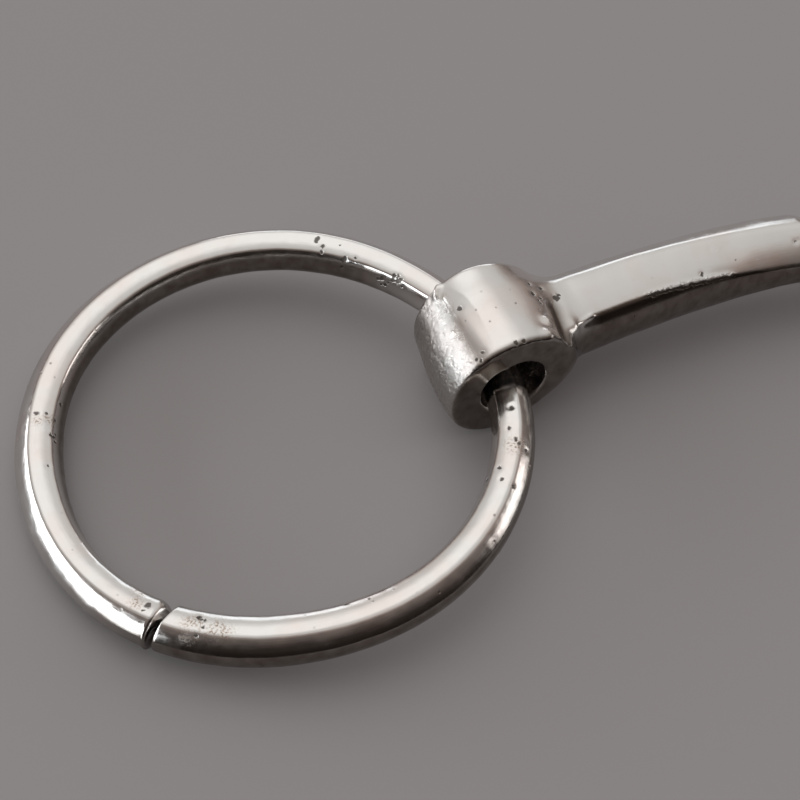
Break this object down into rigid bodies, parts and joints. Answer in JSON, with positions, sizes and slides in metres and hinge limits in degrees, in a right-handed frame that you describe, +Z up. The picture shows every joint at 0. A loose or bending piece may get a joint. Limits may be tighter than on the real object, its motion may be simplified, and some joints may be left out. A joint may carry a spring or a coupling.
{
  "type": "loose-ring snaffle bit",
  "caption": "Single-jointed loose-ring snaffle: bowed tapered arms linked eye in eye, each end boss holding a loose ring that swings.",
  "frame": {"origin": "on the surface the bit lies on, below the middle of the whole bit", "axes": "+X from the left ring to the right ring, +Y towards the outside of the mouthpiece's bow, +Z up"},
  "size_m": [0.2676, 0.07, 0.0195],
  "materials": {
    "cast_steel": "cast, once polished and plated, now worn: bright smooth faces, a granular outer side, fine scratches and small dark pits",
    "ring_steel": "bent round bar with a worn bright finish, faint flats from wear, dark pits and a little brown rust at the seam"
  },
  "bodies": {
    "left_arm": {"left_arm": "cast_steel"},
    "right_arm": {"right_arm": "cast_steel"},
    "left_ring": {"left_ring": "ring_steel"},
    "right_ring": {"right_ring": "ring_steel"}
  },
  "joints": [
    {"name": "middle_joint", "type": "hinge", "parent": "left_arm", "child": "right_arm", "pos_m": [-0.00285, 0.01527, 0.00975], "axis": [0, 0, 1], "range_deg": [-90, 90]},
    {"name": "left_ring_swing", "type": "hinge", "parent": "left_arm", "child": "left_ring", "pos_m": [-0.06784, 0.00549, 0.0096], "axis": [-0.1736, 0.9848, 0], "range_deg": [-114, 126]},
    {"name": "right_ring_swing", "type": "hinge", "parent": "right_arm", "child": "right_ring", "pos_m": [0.06784, 0.00549, 0.0096], "axis": [-0.1736, -0.9848, 0], "range_deg": [-114, 126]}
  ]
}
